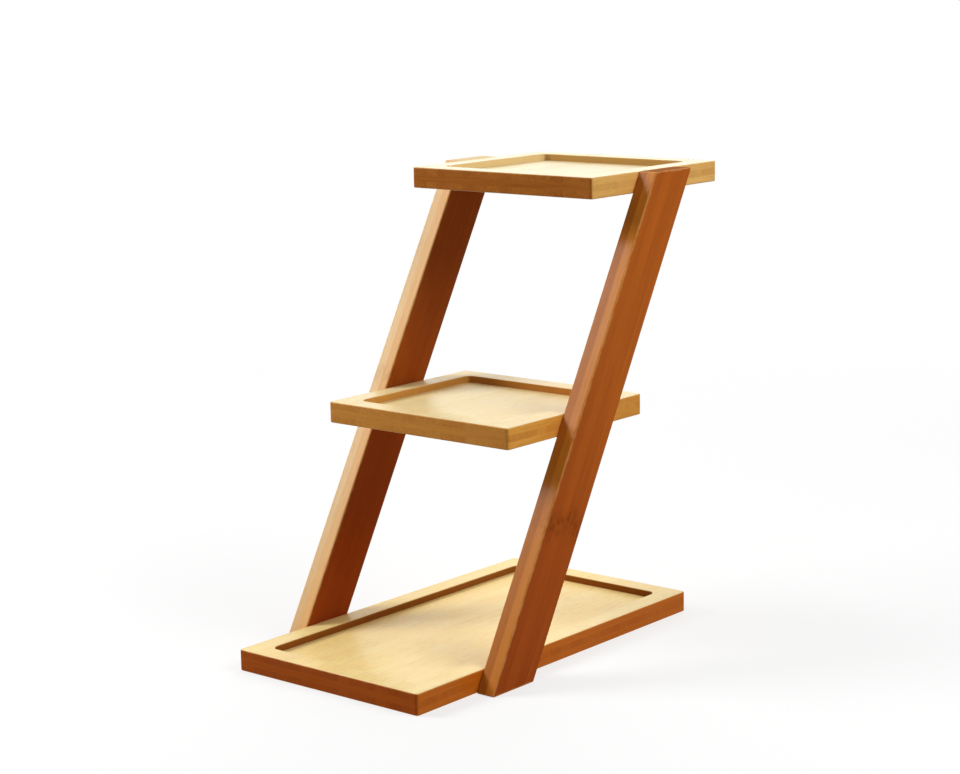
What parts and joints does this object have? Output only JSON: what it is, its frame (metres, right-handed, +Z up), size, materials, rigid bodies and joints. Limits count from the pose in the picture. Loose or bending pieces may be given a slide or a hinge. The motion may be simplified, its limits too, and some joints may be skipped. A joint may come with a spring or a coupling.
{
  "type": "tiered plant stand",
  "caption": "Stepped bamboo plant stand: a long base tray and shorter raised trays with routed recesses, carried between leaning board legs.",
  "frame": {"origin": "on the surface the stand rests on, under the middle of its bounding box", "axes": "+Z up; +Y towards the back, the way the legs lean as they rise; +X to the right, seen from the front"},
  "size_m": [0.154, 0.2718, 0.264],
  "materials": {
    "tray_bamboo": "edge-glued bamboo strips, honey coloured, clear satin lacquer",
    "leg_bamboo": "edge-glued bamboo strips, darker reddish brown, clear satin lacquer",
    "dowel_wood": "bare fluted hardwood, hidden in the joints"
  },
  "bodies": {
    "root": {"base_tray": "tray_bamboo", "middle_tray": "tray_bamboo", "top_tray": "tray_bamboo", "left_leg": "leg_bamboo", "right_leg": "leg_bamboo", "left_base_dowel_front": "dowel_wood", "left_base_dowel_back": "dowel_wood", "right_base_dowel_front": "dowel_wood", "right_base_dowel_back": "dowel_wood", "left_middle_dowel_front": "dowel_wood", "left_middle_dowel_back": "dowel_wood", "right_middle_dowel_front": "dowel_wood", "right_middle_dowel_back": "dowel_wood", "left_top_dowel_front": "dowel_wood", "left_top_dowel_back": "dowel_wood", "right_top_dowel_front": "dowel_wood", "right_top_dowel_back": "dowel_wood"}
  },
  "joints": []
}
